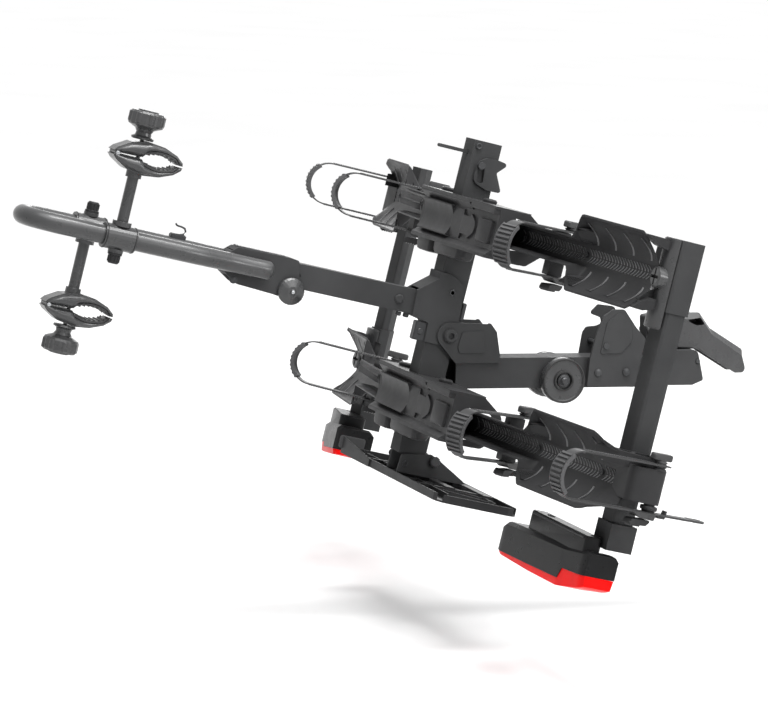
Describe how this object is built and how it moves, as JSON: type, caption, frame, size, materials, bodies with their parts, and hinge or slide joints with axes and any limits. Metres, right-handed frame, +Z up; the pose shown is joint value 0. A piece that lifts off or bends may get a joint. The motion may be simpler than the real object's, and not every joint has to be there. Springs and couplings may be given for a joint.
{
  "type": "tow ball bike rack",
  "caption": "Platform bike rack for a tow ball, tilted down, with wheel trays, straps, a hoop with frame clamps, lamps and a plate holder.",
  "frame": {"origin": "centre of the tow ball inside the coupling's socket, with the coupling closed", "axes": "+Z up, +X towards the vehicle along the hitch beam, +Y across the vehicle, away from the near side where the disc knob and the catch plate are"},
  "size_m": [1.264, 1.3646, 0.6805],
  "materials": {
    "coated_steel": "satin black powder coat",
    "moulded_plastic": "fine-grained black moulding",
    "rubber": "matt black",
    "zinc_plate": "zinc plated",
    "red_lens": "clear red, gloss"
  },
  "bodies": {
    "hitch": {"hitch_beam": "coated_steel", "hinge_plate_near": "coated_steel", "hinge_plate_far": "coated_steel", "pivot_bolt": "coated_steel", "claw_plate_near": "coated_steel", "claw_plate_far": "coated_steel", "claw_pin": "zinc_plate", "coupling_body": "coated_steel", "lever_pin": "zinc_plate", "wheel_axle": "zinc_plate"},
    "platform": {"centre_post": "coated_steel", "arm_housing": "coated_steel", "arm_tube": "coated_steel", "arm_bolt": "coated_steel", "catch_bolt": "zinc_plate", "side_tube_near": "coated_steel", "side_tube_far": "coated_steel", "centre_moulding_upper": "moulded_plastic", "centre_moulding_lower": "moulded_plastic", "tray_upper_near": "moulded_plastic", "tray_upper_far": "moulded_plastic", "tray_lower_near": "moulded_plastic", "tray_lower_far": "moulded_plastic", "strap_a": "moulded_plastic", "strap_b": "moulded_plastic", "strap_c": "moulded_plastic", "strap_d": "moulded_plastic", "strap_e": "moulded_plastic", "strap_f": "moulded_plastic", "lamp_housing_near": "moulded_plastic", "lamp_housing_far": "moulded_plastic", "lamp_lens_near": "red_lens", "lamp_lens_far": "red_lens", "plate_holder": "moulded_plastic", "plate_bracket": "coated_steel"},
    "catch": {"catch_plate": "coated_steel", "release_rod": "coated_steel"},
    "hoop": {"hoop_tube": "coated_steel", "hoop_bracket": "coated_steel"},
    "fold_knob": {"fold_knob": "moulded_plastic"},
    "coupling_lever": {"coupling_lever": "coated_steel"},
    "lock_button": {"lock_button": "zinc_plate"},
    "wheel_near": {"wheel_near": "rubber"},
    "wheel_far": {"wheel_far": "rubber"},
    "clamp_collar_near": {"clamp_collar_near": "moulded_plastic"},
    "clamp_rod_near": {"clamp_rod_near": "moulded_plastic"},
    "clamp_jaw_near": {"clamp_jaw_near": "moulded_plastic"},
    "clamp_knob_near": {"clamp_knob_near": "moulded_plastic"},
    "clamp_collar_knob_near": {"collar_knob_near": "moulded_plastic"},
    "clamp_collar_far": {"clamp_collar_far": "moulded_plastic"},
    "clamp_rod_far": {"clamp_rod_far": "moulded_plastic"},
    "clamp_jaw_far": {"clamp_jaw_far": "moulded_plastic"},
    "clamp_knob_far": {"clamp_knob_far": "moulded_plastic"},
    "clamp_collar_knob_far": {"collar_knob_far": "moulded_plastic"},
    "buckle_a": {"buckle_lever_a": "moulded_plastic"},
    "buckle_b": {"buckle_lever_b": "moulded_plastic"},
    "buckle_c": {"buckle_lever_c": "moulded_plastic"},
    "buckle_d": {"buckle_lever_d": "moulded_plastic"},
    "buckle_e": {"buckle_lever_e": "moulded_plastic"},
    "buckle_f": {"buckle_lever_f": "moulded_plastic"}
  },
  "joints": [
    {"name": "platform_tilt", "type": "hinge", "parent": "hitch", "child": "platform", "pos_m": [-0.405, 0, 0.08], "axis": [0, 1, 0], "range_deg": [0, 78]},
    {"name": "catch_slide", "type": "slide", "parent": "platform", "child": "catch", "axis": [-0.9781, 0, 0.2079], "range_m": [0, 0.0045], "stiffness_N_per_m": 1500, "springref_m": -0.004},
    {"name": "hoop_fold", "type": "hinge", "parent": "platform", "child": "hoop", "pos_m": [-0.67891, 0, 0.15253], "axis": [0, -1, 0], "range_deg": [0, 90]},
    {"name": "fold_knob_turn", "type": "hinge", "parent": "hoop", "child": "fold_knob", "pos_m": [-0.67891, 0, 0.15253], "axis": [0, 1, 0], "continuous": true},
    {"name": "coupling_lever_lift", "type": "hinge", "parent": "hitch", "child": "coupling_lever", "pos_m": [-0.033, 0, 0.084], "axis": [0, -1, 0], "range_deg": [0, 60]},
    {"name": "lock_button_press", "type": "slide", "parent": "hitch", "child": "lock_button", "axis": [0, 1, 0], "range_m": [0, 0.0015], "stiffness_N_per_m": 400, "springref_m": -0.002},
    {"name": "wheel_near_turn", "type": "hinge", "parent": "hitch", "child": "wheel_near", "pos_m": [-0.207, 0, 0.006], "axis": [0, 1, 0], "continuous": true},
    {"name": "wheel_far_turn", "type": "hinge", "parent": "hitch", "child": "wheel_far", "pos_m": [-0.207, 0, 0.006], "axis": [0, 1, 0], "continuous": true},
    {"name": "clamp_slide_near", "type": "slide", "parent": "hoop", "child": "clamp_collar_near", "axis": [0.9781, 0, -0.2079], "range_m": [-0.06, 0.08]},
    {"name": "clamp_turn_near", "type": "hinge", "parent": "clamp_collar_near", "child": "clamp_rod_near", "pos_m": [-0.974, -0.05, 0.24082], "axis": [0.2079, 0, 0.9781], "continuous": true},
    {"name": "clamp_screw_near", "type": "slide", "parent": "clamp_rod_near", "child": "clamp_knob_near", "axis": [0.2079, 0, 0.9781], "range_m": [0, 0.02]},
    {"name": "jaw_open_near", "type": "hinge", "parent": "clamp_rod_near", "child": "clamp_jaw_near", "pos_m": [-0.98435, -0.05, 0.3749], "axis": [0, -1, 0], "range_deg": [0, 18.5]},
    {"name": "collar_knob_near_turn", "type": "hinge", "parent": "clamp_collar_near", "child": "clamp_collar_knob_near", "pos_m": [-0.974, -0.05, 0.24082], "axis": [-0.2079, 0, -0.9781], "continuous": true},
    {"name": "clamp_slide_far", "type": "slide", "parent": "hoop", "child": "clamp_collar_far", "axis": [0.9781, 0, -0.2079], "range_m": [-0.04, 0.1]},
    {"name": "clamp_turn_far", "type": "hinge", "parent": "clamp_collar_far", "child": "clamp_rod_far", "pos_m": [-0.99552, 0.05, 0.24539], "axis": [0.2079, 0, 0.9781], "continuous": true},
    {"name": "clamp_screw_far", "type": "slide", "parent": "clamp_rod_far", "child": "clamp_knob_far", "axis": [-0.2079, 0, -0.9781], "range_m": [0, 0.02]},
    {"name": "jaw_open_far", "type": "hinge", "parent": "clamp_rod_far", "child": "clamp_jaw_far", "pos_m": [-1.05992, 0.05, 0.12515], "axis": [0, 1, 0], "range_deg": [0, 18.5]},
    {"name": "collar_knob_far_turn", "type": "hinge", "parent": "clamp_collar_far", "child": "clamp_collar_knob_far", "pos_m": [-0.99552, 0.05, 0.24539], "axis": [0.2079, 0, 0.9781], "continuous": true},
    {"name": "buckle_a_lift", "type": "hinge", "parent": "platform", "child": "buckle_a", "pos_m": [-0.25672, 0.628, 0.17638], "axis": [-0.22, -0.9744, 0.0468], "range_deg": [0, 40]},
    {"name": "buckle_b_lift", "type": "hinge", "parent": "platform", "child": "buckle_b", "pos_m": [-0.33595, 0.293, 0.19322], "axis": [-0.5183, -0.848, 0.1102], "range_deg": [0, 40]},
    {"name": "buckle_c_lift", "type": "hinge", "parent": "platform", "child": "buckle_c", "pos_m": [-0.33595, -0.293, 0.19322], "axis": [0.5183, -0.848, -0.1102], "range_deg": [0, 40]},
    {"name": "buckle_d_lift", "type": "hinge", "parent": "platform", "child": "buckle_d", "pos_m": [-0.39768, 0.293, -0.09719], "axis": [-0.5183, -0.848, 0.1102], "range_deg": [0, 40]},
    {"name": "buckle_e_lift", "type": "hinge", "parent": "platform", "child": "buckle_e", "pos_m": [-0.39768, -0.293, -0.09719], "axis": [0.5183, -0.848, -0.1102], "range_deg": [0, 40]},
    {"name": "buckle_f_lift", "type": "hinge", "parent": "platform", "child": "buckle_f", "pos_m": [-0.31845, -0.628, -0.11403], "axis": [0.22, -0.9744, -0.0468], "range_deg": [0, 40]}
  ],
  "couplings": [
    {"joint": "jaw_open_near", "follows": "clamp_screw_near", "rad_per_m": 15.7},
    {"joint": "jaw_open_far", "follows": "clamp_screw_far", "rad_per_m": 15.7}
  ]
}
